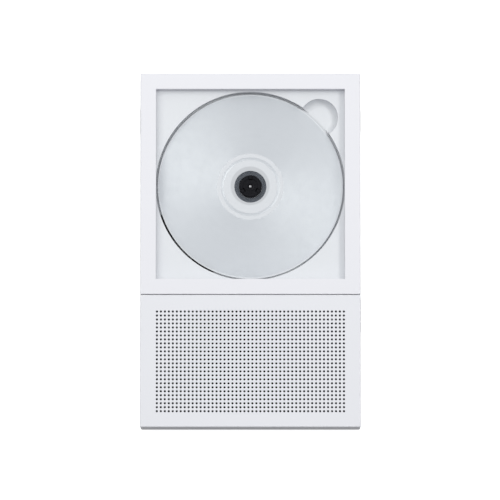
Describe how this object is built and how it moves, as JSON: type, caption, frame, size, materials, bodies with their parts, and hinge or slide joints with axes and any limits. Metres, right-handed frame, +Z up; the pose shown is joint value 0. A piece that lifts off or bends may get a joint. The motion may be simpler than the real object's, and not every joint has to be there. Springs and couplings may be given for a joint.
{
  "type": "top-loading optical disc player with built-in speakers",
  "caption": "White top-loading optical disc player: open square disc well with spindle and finger notch, and a perforated speaker panel below, powered and linked through a side socket.",
  "frame": {"origin": "under the middle of the case, on the plane that the four feet rest on", "axes": "+Z up along the disc's axis, +Y along the case from the speaker section towards the disc section, +X to the side with the keys"},
  "size_m": [0.1428, 0.229, 0.0282],
  "materials": {
    "white_plastic": "fine satin white moulding",
    "deck_plastic": "fine matt white moulding",
    "shell_plastic": "fine matt white moulding",
    "black_plastic": "black engineering plastic",
    "grey_plastic": "dark grey engineering plastic",
    "rubber": "soft dark grey rubber",
    "disc_silver": "clear plastic over a silver metal film",
    "steel": "plated steel",
    "ferrite": "sintered ferrite between plated plates",
    "cone_paper": "coated paper cone with rubber surround",
    "lens_glass": "polished moulded lens",
    "circuit_board": "green solder mask",
    "battery_wrap": "wrapped flat cells",
    "cloth": "fine black woven cloth"
  },
  "bodies": {
    "case": {"disc_frame": "white_plastic", "speaker_panel": "white_plastic", "well_plate": "deck_plastic", "rear_shell": "shell_plastic", "mechanism_chassis": "black_plastic", "headphone_socket": "black_plastic", "power_switch": "black_plastic", "volume_switch": "black_plastic", "foot_1": "rubber", "foot_2": "rubber", "foot_3": "rubber", "foot_4": "rubber", "damper_1": "rubber", "damper_2": "rubber", "damper_3": "rubber", "case_screw_1": "steel", "case_screw_2": "steel", "case_screw_3": "steel", "case_screw_4": "steel", "case_screw_5": "steel", "case_screw_6": "steel", "case_screw_7": "steel", "case_screw_8": "steel", "spindle_motor": "steel", "guide_rod_a": "steel", "guide_rod_b": "steel", "sled_motor": "steel", "damper_screw_1": "steel", "damper_screw_2": "steel", "damper_screw_3": "steel", "speaker_basket_left": "steel", "speaker_basket_right": "steel", "usb_socket": "steel", "speaker_magnet_left": "ferrite", "speaker_magnet_right": "ferrite", "main_board": "circuit_board", "key_board": "circuit_board", "battery_pack": "battery_wrap", "dust_cloth": "cloth"},
    "spindle": {"turntable": "black_plastic", "turntable_pad": "rubber", "hub_cap": "black_plastic", "spindle_shaft": "steel"},
    "claw_1": {"hub_claw_1": "black_plastic"},
    "claw_2": {"hub_claw_2": "black_plastic"},
    "claw_3": {"hub_claw_3": "black_plastic"},
    "disc_body": {"disc": "disc_silver"},
    "sled": {"pickup_sled": "grey_plastic"},
    "lens": {"lens_holder": "black_plastic", "objective_lens": "lens_glass"},
    "screw_shaft": {"lead_screw": "steel"},
    "cone_left": {"speaker_cone_left": "cone_paper"},
    "cone_right": {"speaker_cone_right": "cone_paper"},
    "slider": {"power_slider": "white_plastic"},
    "button_forward": {"key_forward": "white_plastic"},
    "button_play": {"key_play": "white_plastic"},
    "button_back": {"key_back": "white_plastic"},
    "rocker": {"volume_rocker": "white_plastic"}
  },
  "joints": [
    {"name": "disc_spin", "type": "hinge", "parent": "case", "child": "spindle", "pos_m": [0, 0.04205, 0.0128], "axis": [0, 0, 1], "continuous": true},
    {"name": "disc_lift", "type": "slide", "parent": "spindle", "child": "disc_body", "axis": [0, 0, 1], "range_m": [0, 0.05]},
    {"name": "claw_1_press", "type": "slide", "parent": "spindle", "child": "claw_1", "axis": [0, -1, 0], "range_m": [0, 0.0005], "stiffness_N_per_m": 120},
    {"name": "claw_2_press", "type": "slide", "parent": "spindle", "child": "claw_2", "axis": [0.866, 0.5, 0], "range_m": [0, 0.0005], "stiffness_N_per_m": 120},
    {"name": "claw_3_press", "type": "slide", "parent": "spindle", "child": "claw_3", "axis": [-0.866, 0.5, 0], "range_m": [0, 0.0005], "stiffness_N_per_m": 120},
    {"name": "pickup_slide", "type": "slide", "parent": "case", "child": "sled", "axis": [-0.7431, -0.6691, 0], "range_m": [0, 0.034]},
    {"name": "lens_focus", "type": "slide", "parent": "sled", "child": "lens", "axis": [0, 0, 1], "range_m": [-0.0005, 0.0005], "stiffness_N_per_m": 25},
    {"name": "lead_screw_spin", "type": "hinge", "parent": "case", "child": "screw_shaft", "pos_m": [-0.00925, 0.00749, 0.0073], "axis": [-0.7431, -0.6691, 0], "range_deg": [0, 4081]},
    {"name": "cone_left_stroke", "type": "slide", "parent": "case", "child": "cone_left", "axis": [0, 0, 1], "range_m": [-0.0005, 0.0005], "stiffness_N_per_m": 1500},
    {"name": "cone_right_stroke", "type": "slide", "parent": "case", "child": "cone_right", "axis": [0, 0, 1], "range_m": [-0.0005, 0.0005], "stiffness_N_per_m": 1500},
    {"name": "power_slide", "type": "slide", "parent": "case", "child": "slider", "axis": [0, -1, 0], "range_m": [0, 0.003]},
    {"name": "forward_press", "type": "slide", "parent": "case", "child": "button_forward", "axis": [-1, 0, 0], "range_m": [0, 0.0005], "stiffness_N_per_m": 400},
    {"name": "play_press", "type": "slide", "parent": "case", "child": "button_play", "axis": [-1, 0, 0], "range_m": [0, 0.0005], "stiffness_N_per_m": 400},
    {"name": "back_press", "type": "slide", "parent": "case", "child": "button_back", "axis": [-1, 0, 0], "range_m": [0, 0.0005], "stiffness_N_per_m": 400},
    {"name": "volume_tilt", "type": "hinge", "parent": "case", "child": "rocker", "pos_m": [-0.069, 0.085, 0.011], "axis": [0, 0, 1], "range_deg": [-3, 3], "stiffness_Nm_per_rad": 0.02}
  ],
  "couplings": [
    {"joint": "lead_screw_spin", "follows": "pickup_slide", "rad_per_m": 2094.4}
  ]
}
